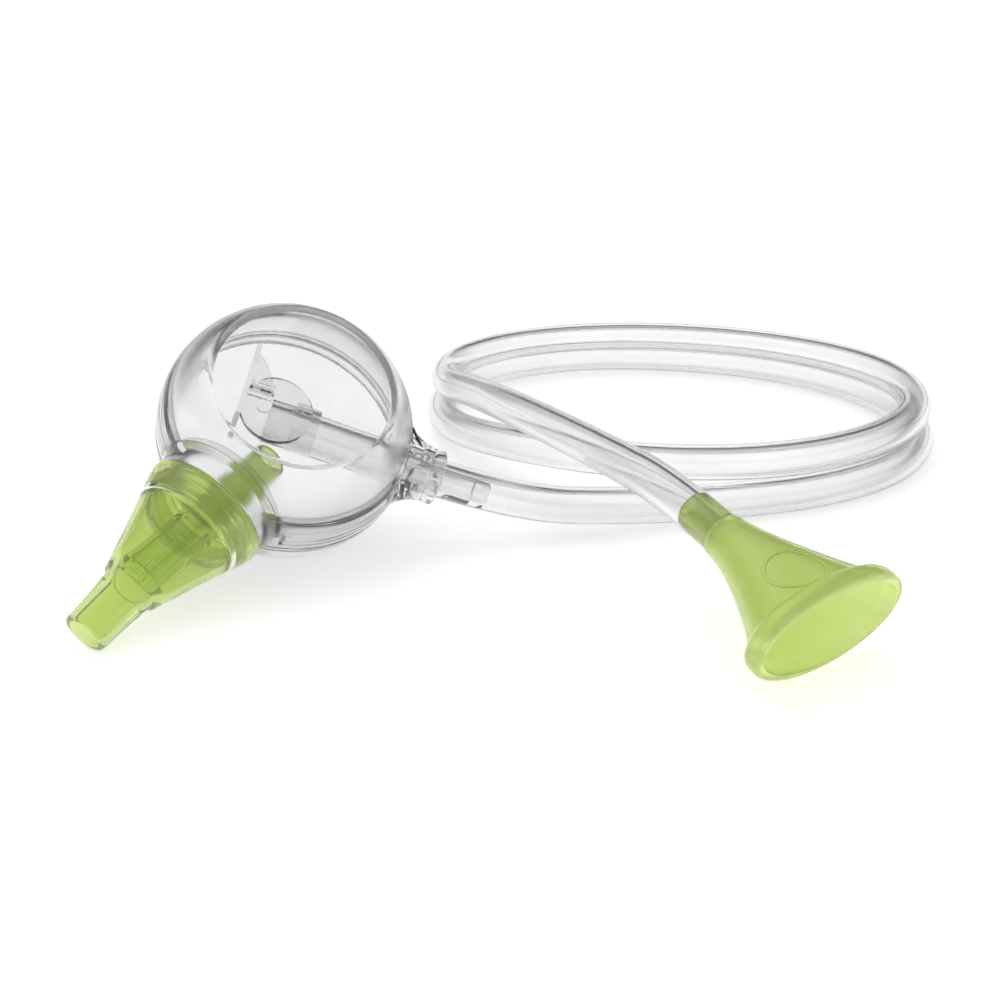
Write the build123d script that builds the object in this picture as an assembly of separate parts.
from build123d import *
import math
import os

os.makedirs("parts", exist_ok=True)

# ---------------------------------------------------------------- dimensions (mm)
# Placement: the aspirator lies on a surface at z = 0.  The head is a ball that
# rests on its rear dome and on the tip of the nose cone.
HEAD_C = Vector(-39.74, 20.66, 25.45)          # centre of the ball
HEAD_N = Vector(0.338, -0.620, 0.708)        # normal of the flat window
HEAD_X = Vector(0.928, 0.0935, -0.362)       # direction of the outlet

BALL_R = 25.45          # outer radius of the ball chamber
BALL_RI = 23.55         # inner radius
WINDOW_Z = 18.2         # outer face of the flat window, from the ball's centre
WINDOW_T = 2.0          # window thickness
SEAM_Z = 7.3            # seam between front and rear shell
SEAM_GAP = 0.05
SKIRT_RO = 23.5         # plug skirt of the front shell
SKIRT_RI = 22.3
SKIRT_Z0 = -1.15
REBATE_R = 23.6         # rebate of the rear shell that takes the skirt
REBATE_Z0 = -3.95

NOSE_AZ = -113.3        # nose axis, angle from the outlet about the window normal
NOSE_TILT = 2.4         # tilt of the nose axis towards the window
NOSE_Z = 1.5            # offset of the nose axis towards the window
NECK_R = 12.3           # neck ring of the rear shell
NECK_D = 26.3           # end of the neck ring, along the nose axis
SPIGOT_R = 10.8         # spigot that carries the nose cone
SPIGOT_D = 32.0
NECK_BORE = 9.3
BEAD_R = 10.97          # retaining beads on the spigot

CONE_BORE = 11.05       # socket of the nose cone
CONE_D0 = 26.4          # open rim of the nose cone
CONE_TIP = 59.2         # tip of the nose cone
TIP_BORE = 3.0          # suction bore at the tip
TUBE_TOP = 8.4          # end of the inlet tube inside the ball
TUBE_LOW = 44.4         # end of the inlet tube inside the cone
TUBE_SHIFT = 2.0        # sideways set of the tube's inner end
TUBE_R_LOW = 4.55
TUBE_R_TOP = 3.55
PLUG_R = 9.22

OUT_Z = 1.0             # offset of the outlet axis towards the window
DUCT_R = 4.1
DUCT_RI = 2.75
DUCT_X0 = -4.3
DUCT_X1 = 28.8
OUT_BORE = 4.15
TRUMPET_END = 29.6
COLLAR_R = 5.7
COLLAR_END = 32.3
CONN_R = 2.6            # clear connector between duct and hose
CONN_RI = 1.7
CONN_X0 = 23.5
CONN_STEP = 39.5
CONN_X1 = 43.0

HOSE_R = 4.0
HOSE_RI = 2.65
HOSE_S0 = 29.3          # hose end inside the collar, along the outlet axis

MOUTH_B = Vector(37.81, -8.64, 20.38)         # inner end of the mouthpiece's barb
MOUTH_DIR = Vector(0.574, -0.758, -0.309)    # axis of the mouthpiece
MOUTH_BARB_R = 2.6
MOUTH_BARB_L = 8.0
MOUTH_RIM_A = 18.1      # half width of the oval rim
MOUTH_RIM_B = 10.3      # half height of the oval rim
MOUTH_RIM_D = 34.1      # distance from barb end to the middle of the rim
MOUTH_WALL = 1.4

# Route of the hose: corners of the path, from the collar to the mouthpiece.
ROUTE = [
    None,                        # first point: on the outlet axis
    None,                        # second point: on the outlet axis
    (30.4, 28.6, 6.2),
    (52.7, 37.0, 4.0),
    (79.2, 45.5, 4.0),
    (101.2, 63.7, 4.0),
    (111.8, 93.0, 4.0),
    (106.7, 124.2, 4.0),
    (86.2, 148.7, 4.0),
    (56.2, 160.8, 4.0),
    (24.7, 161.2, 4.0),
    (-2.3, 144.7, 4.0),
    (-13.2, 115.2, 4.0),
    (-10.4, 84.0, 6.3),
    (6.8, 53.7, 11.3),
    (35.2, 38.7, 12.2),
    (65.2, 39.7, 12.25),
    (91.7, 55.2, 12.25),
    (107.7, 80.2, 12.25),
    (109.2, 111.2, 12.0),
    (95.7, 135.7, 11.8),
    (70.7, 151.7, 11.8),
    (40.7, 157.2, 11.8),
    (10.7, 149.7, 11.8),
    (-8.5, 129.0, 12.0),
    (-12.5, 101.0, 13.2),
    (-3.2, 78.6, 16.9),
    (4.8, 56.0, 20.2),
    (14.8, 34.2, 21.8),
    (24.4, 15.6, 22.3),
    None,                        # last corner: on the mouthpiece's axis
    None,                        # last point: on the mouthpiece's axis
]

# ---------------------------------------------------------------- frames
n = HEAD_N.normalized()
ex = (HEAD_X - n * HEAD_X.dot(n)).normalized()
ey = n.cross(ex)
head = Plane(origin=HEAD_C, x_dir=ex, z_dir=n).location


def head_point(x, y, z):
    return HEAD_C + ex * x + ey * y + n * z


az = math.radians(NOSE_AZ)
ti = math.radians(NOSE_TILT)
nose_local = Vector(math.cos(ti) * math.cos(az), math.cos(ti) * math.sin(az), math.sin(ti))
side_local = Vector(-math.sin(az), math.cos(az), 0)
nose_plane = Plane(origin=(0, 0, NOSE_Z), x_dir=side_local, z_dir=nose_local)
out_plane = Plane(origin=(0, 0, OUT_Z), x_dir=(0, 1, 0), z_dir=(1, 0, 0))


def lathe(plane, pts):
    """Solid of revolution about a plane's z axis from (radius, height) points."""
    wire = Polyline(*[(r, 0, h) for r, h in pts], close=True)
    solid = revolve(make_face(wire), Axis.Z)
    return plane.location * solid


def rod(plane, r, h0, h1):
    return plane.location * Pos(0, 0, h0) * Cylinder(r, h1 - h0, align=(Align.CENTER, Align.CENTER, Align.MIN))


def slab(z0, z1, w=200):
    return Pos(0, 0, z0) * Box(w, w, z1 - z0, align=(Align.CENTER, Align.CENTER, Align.MIN))


# ---------------------------------------------------------------- ball chamber
# The neck ring and the outlet trumpet are moulded with the rear shell.
neck_outer = rod(nose_plane, NECK_R, 12.0, NECK_D)
spigot = lathe(nose_plane, [
    (8.0, NECK_D - 2.0), (SPIGOT_R, NECK_D - 2.0), (SPIGOT_R, 27.9), (BEAD_R, 28.2), (BEAD_R, 28.7),
    (SPIGOT_R, 29.0), (SPIGOT_R, 30.1), (BEAD_R, 30.4), (BEAD_R, 30.9), (SPIGOT_R, 31.2),
    (SPIGOT_R, SPIGOT_D - 0.3), (SPIGOT_R - 0.3, SPIGOT_D), (8.0, SPIGOT_D)])
# fillet of the neck on the ball
neck_fillet = lathe(nose_plane, [
    (8.0, 18.0), (13.1, 21.2), (12.8, 22.2), (12.5, 23.0), (12.35, 23.8), (12.3, 24.6), (8.0, 24.6)])
trumpet = lathe(out_plane, [
    (0.0, 19.0), (9.6, 21.5), (8.5, 23.9), (7.5, 25.0), (6.75, 26.2), (6.1, 27.6), (5.75, 28.8),
    (5.65, TRUMPET_END), (0.0, TRUMPET_END)])

cavity = Sphere(BALL_RI)
rebate = Pos(0, 0, REBATE_Z0) * Cylinder(REBATE_R, SEAM_Z - REBATE_Z0, align=(Align.CENTER, Align.CENTER, Align.MIN))

seam = slab(-60, SEAM_Z - SEAM_GAP)
rear = (Sphere(BALL_R) & seam) + (trumpet & seam) + neck_outer + neck_fillet + spigot
rear -= cavity
rear -= rebate & Sphere(25.2)
rear -= rod(nose_plane, NECK_BORE, 8.0, 40.0)
rear -= rod(out_plane, OUT_BORE, 8.0, 40.0)
# fine parting groove round the ball's equator
groove = Pos(0, 0, -1.2) * (Cylinder(BALL_R + 1, 0.5) - Cylinder(BALL_R - 0.25, 0.5))
groove -= rod(nose_plane, 13.8, 8.0, 40.0)
groove -= rod(out_plane, 9.9, 8.0, 40.0)
rear -= groove

dome = Sphere(BALL_R) & slab(SEAM_Z, WINDOW_Z)
window_edges = dome.edges().group_by(Axis.Z)[-1]
dome = fillet(window_edges, 0.7)
dome -= Sphere(BALL_RI) & slab(-30, WINDOW_Z - WINDOW_T)
skirt = Pos(0, 0, SKIRT_Z0) * (
    Cylinder(SKIRT_RO, SEAM_Z + 0.9 - SKIRT_Z0, align=(Align.CENTER, Align.CENTER, Align.MIN))
    - Cylinder(SKIRT_RI, SEAM_Z + 0.9 - SKIRT_Z0, align=(Align.CENTER, Align.CENTER, Align.MIN)))
front = dome + skirt
# slots that let the front shell lift off past the neck and the duct
neck_slot = rod(nose_plane, NECK_R + 0.2, 8.0, 40.0)
neck_fillet_slot = lathe(nose_plane, [
    (0.0, 16.0), (12.6, 16.0), (13.3, 20.6), (13.3, 21.3), (13.0, 22.3), (12.7, 23.1), (12.55, 23.9), (12.5, 24.6), (0.0, 24.6)])
front -= neck_slot
front -= neck_fillet_slot
nose_box = Plane(origin=(0, 0, NOSE_Z), x_dir=(math.cos(az), math.sin(az), 0), z_dir=(0, 0, 1)).location
front -= nose_box * Pos(26, 0, -10) * Box(36, 2 * 13.3, 20)
front -= rod(out_plane, 4.5, 8.0, 40.0)
front -= Pos(26, 0, OUT_Z - 10) * Box(36, 9.0, 20)

duct = rod(out_plane, DUCT_R, DUCT_X0, DUCT_X1) - rod(out_plane, DUCT_RI, DUCT_X0 - 1, DUCT_X1 + 1)

# splash baffle: a disc over the duct's mouth, a web and an upright vane, with a
# half ring that clips over the duct
disc = Pos(-3.2, 0, OUT_Z + DUCT_R + 0.06) * Cylinder(7.1, 1.0, align=(Align.CENTER, Align.CENTER, Align.MIN))
boss = Pos(-5.8, -0.4, OUT_Z + DUCT_R + 1.0) * Cylinder(1.5, 0.5, align=(Align.CENTER, Align.CENTER, Align.MIN))
vane = Pos(-10.0, 4.9, 0.9) * Box(1.0, 16.4, 10.5)
web_face = make_face(Polyline((-10.3, 13.1, 0), (-8.7, 12.2, 0), (-7.2, 10.6, 0), (-6.0, 8.6, 0), (-5.1, 6.4, 0),
                              (-4.5, 4.3, 0), (-10.3, 4.3, 0), close=True))
web = Pos(0, 0, OUT_Z + 1.6) * extrude(web_face, 1.0)
stem = Pos(-7.4, 2.2, 5.2) * Box(5.4, 1.0, 1.2)
clip = (rod(out_plane, DUCT_R + 1.0, 0.5, 5.5) - rod(out_plane, DUCT_R + 0.05, 0.0, 6.0)) & slab(OUT_Z + 0.2, 9.0)
web_lug = Pos(-7.5, 4.8, OUT_Z + 3.2) * Box(5.6, 1.0, 4.2)
baffle = disc + boss + vane + web + stem + clip + web_lug

collar = lathe(out_plane, [
    (OUT_BORE, TRUMPET_END + 0.03), (5.65, TRUMPET_END + 0.03), (COLLAR_R, TRUMPET_END + 0.5),
    (COLLAR_R, COLLAR_END - 0.35), (COLLAR_R - 0.35, COLLAR_END), (OUT_BORE, COLLAR_END)])
for a in (20, 110, 200, 290):
    notch = out_plane.location * Rot(0, 0, a) * Pos(4.9, 0, COLLAR_END) * Box(3.0, 1.1, 2.6)
    collar -= notch

connector = lathe(out_plane, [
    (CONN_RI, CONN_X0), (CONN_R, CONN_X0), (CONN_R, CONN_STEP), (CONN_R - 0.3, CONN_STEP + 0.1),
    (CONN_R - 0.3, CONN_X1 - 0.5), (CONN_R - 0.6, CONN_X1), (CONN_RI, CONN_X1)])

# ---------------------------------------------------------------- nose
cone = lathe(nose_plane, [
    (CONE_BORE, CONE_D0), (12.45, CONE_D0), (12.5, 26.8), (12.3, 27.6), (10.75, 32.0), (10.55, 32.15), (9.3, 36.0),
    (8.0, 40.0), (6.75, 44.0), (5.75, 47.2), (5.05, 47.5), (4.75, 50.0), (4.4, 54.0), (4.25, 57.0),
    (4.1, CONE_TIP - 0.25), (3.8, CONE_TIP), (TIP_BORE, CONE_TIP), (TIP_BORE, 49.6),
    (4.65, 44.45), (5.6, 43.4), (6.8, 39.6), (8.1, 35.6), (9.3, 32.12), (CONE_BORE, 32.12)])

tube_end = Vector(nose_local * TUBE_LOW) + Vector(0, 0, NOSE_Z)
# the inner end of the tube stands to the outlet's side of the nose axis
perp = (Vector(1, 0, 0) - nose_local * Vector(1, 0, 0).dot(nose_local)).normalized()
tube_top = Vector(nose_local * TUBE_TOP) + Vector(0, 0, NOSE_Z) + perp * TUBE_SHIFT
tube_axis = (tube_end - tube_top)
tube_len = tube_axis.length
tube_plane = Plane(origin=tube_top, z_dir=tube_axis)
tube_out = lathe(tube_plane, [
    (0.0, 0.0), (TUBE_R_TOP - 0.3, 0.0), (TUBE_R_TOP, 0.3), (TUBE_R_LOW, tube_len), (0.0, tube_len)])
tube_in = lathe(tube_plane, [
    (0.0, -1.0), (TUBE_R_TOP - 1.05, -1.0), (TUBE_R_LOW - 1.15, tube_len + 1.0), (0.0, tube_len + 1.0)])
plug = rod(nose_plane, PLUG_R, 25.6, 31.9) - rod(nose_plane, PLUG_R - 1.1, 24.0, 30.6)
nozzle = (plug + tube_out) - tube_in

# seal ring on the rebate's ledge, notched under the duct and the inlet tube
seal = Pos(0, 0, REBATE_Z0 + 0.05) * (
    Cylinder(SKIRT_RO + 0.03, 2.7, align=(Align.CENTER, Align.CENTER, Align.MIN))
    - Cylinder(SKIRT_RI, 2.7, align=(Align.CENTER, Align.CENTER, Align.MIN)))
seal -= rod(out_plane, DUCT_R + 0.1, 15.0, 30.0)
seal -= rod(tube_plane, 4.25, 5.0, 30.0)

# ---------------------------------------------------------------- mouthpiece
md = MOUTH_DIR.normalized()
mh = Vector(0, 0, 1).cross(md).normalized()
mouth = Plane(origin=MOUTH_B, x_dir=mh, z_dir=md)


def oval(a, b, d):
    return Pos(0, 0, d) * Ellipse(a, b) if abs(a - b) > 1e-6 else Pos(0, 0, d) * Circle(a)


SEC = [(MOUTH_BARB_L, 4.30, 4.25), (12.0, 5.0, 4.7), (17.0, 7.0, 5.6), (22.0, 9.6, 6.6),
       (27.0, 12.7, 7.6), (31.2, 15.7, 8.5)]
outer_secs = Sketch() + [oval(a, b, d) for d, a, b in SEC]
body_out = loft([oval(a, b, d) for d, a, b in SEC], ruled=False)
body_in = loft([oval(a - MOUTH_WALL if i else 1.7, b - MOUTH_WALL if i else 1.69, d) for i, (d, a, b) in enumerate(SEC)], ruled=False)
rim_out = loft([oval(15.6, 8.4, 31.0), oval(17.7, 9.9, 32.2), oval(MOUTH_RIM_A, MOUTH_RIM_B, 33.2)], ruled=False)
rim_face = loft([oval(MOUTH_RIM_A, MOUTH_RIM_B, 33.2), oval(MOUTH_RIM_A - 0.15, MOUTH_RIM_B - 0.15, 34.6),
                 oval(MOUTH_RIM_A - 0.9, MOUTH_RIM_B - 0.9, 35.3)], ruled=False)
rim_in = loft([oval(15.7 - MOUTH_WALL, 8.5 - MOUTH_WALL, 31.2), oval(15.4, 7.9, 33.5), oval(16.2, 8.6, 35.4)], ruled=False)
barb = Pos(0, 0, 0) * Cylinder(MOUTH_BARB_R, MOUTH_BARB_L + 0.6, align=(Align.CENTER, Align.CENTER, Align.MIN))
barb_bore = Pos(0, 0, -1) * Cylinder(1.7, MOUTH_BARB_L + 2.0, align=(Align.CENTER, Align.CENTER, Align.MIN))
mouthpiece = barb + body_out + rim_out + rim_face
mouthpiece = mouthpiece - body_in - rim_in - barb_bore
# plain raised ring on the upper face
mouthpiece_local = mouthpiece

# ---------------------------------------------------------------- hose
pts = []
for i, p in enumerate(ROUTE):
    pts.append(Vector(*p) if p is not None else None)
pts[0] = head_point(HOSE_S0, 0, OUT_Z)
pts[1] = head_point(50.0, 0, OUT_Z)
pts[-2] = MOUTH_B - md * 7.5
pts[-1] = MOUTH_B + md * (MOUTH_BARB_L - 0.1)

radii = []
runs = [(pts[i + 1] - pts[i]).length for i in range(len(pts) - 1)]
turns = []
for i in range(1, len(pts) - 1):
    a = (pts[i] - pts[i - 1]).get_angle(pts[i + 1] - pts[i])
    turns.append(a)
    radii.append(0.45 * min(runs[i - 1], runs[i]) / math.tan(math.radians(a / 2)))
print("runs", [round(r, 1) for r in runs])
print("turns", [round(t, 1) for t in turns])
print("radii", [round(r, 1) for r in radii], "min", round(min(radii), 1))
path = FilletPolyline(*pts, radius=radii)
start = Plane(origin=path @ 0, z_dir=path % 0)
section = start.location * (Circle(HOSE_R) - Circle(HOSE_RI))
hose = sweep(section, path=path)
area = math.pi * (HOSE_R ** 2 - HOSE_RI ** 2)
print("hose length", round(path.length, 1), "volume", round(hose.volume, 1), "section x length", round(area * path.length, 1))

# ---------------------------------------------------------------- write the parts
nodes = {
    "nose_cone": head * cone,
    "inlet_nozzle": head * nozzle,
    "chamber_front_shell": head * front,
    "chamber_rear_shell": head * rear,
    "chamber_seal_ring": head * seal,
    "outlet_duct": head * duct,
    "splash_baffle": head * baffle,
    "outlet_collar": head * collar,
    "hose_connector": head * connector,
    "hose": hose,
    "mouthpiece": mouth.location * mouthpiece_local,
}
boxes = []
for name, shape in nodes.items():
    solids = shape.solids()
    part = solids[0] if len(solids) == 1 else Compound(children=list(solids))
    part.label = name
    export_step(part, f"parts/{name}.step")
    bb = part.bounding_box()
    if name != "hose":
        boxes.append(bb)
    print(f"{name:22s} solids {len(solids)} vol {part.volume:9.1f} "
          f"x {bb.min.X:7.2f}..{bb.max.X:7.2f} y {bb.min.Y:7.2f}..{bb.max.Y:7.2f} z {bb.min.Z:7.2f}..{bb.max.Z:7.2f}")
x0 = min(b.min.X for b in boxes); x1 = max(b.max.X for b in boxes)
y0 = min(b.min.Y for b in boxes); y1 = max(b.max.Y for b in boxes)
z0 = min(b.min.Z for b in boxes)
print("without the hose: centre", round((x0 + x1) / 2, 3), round((y0 + y1) / 2, 3), "bottom", round(z0, 3))
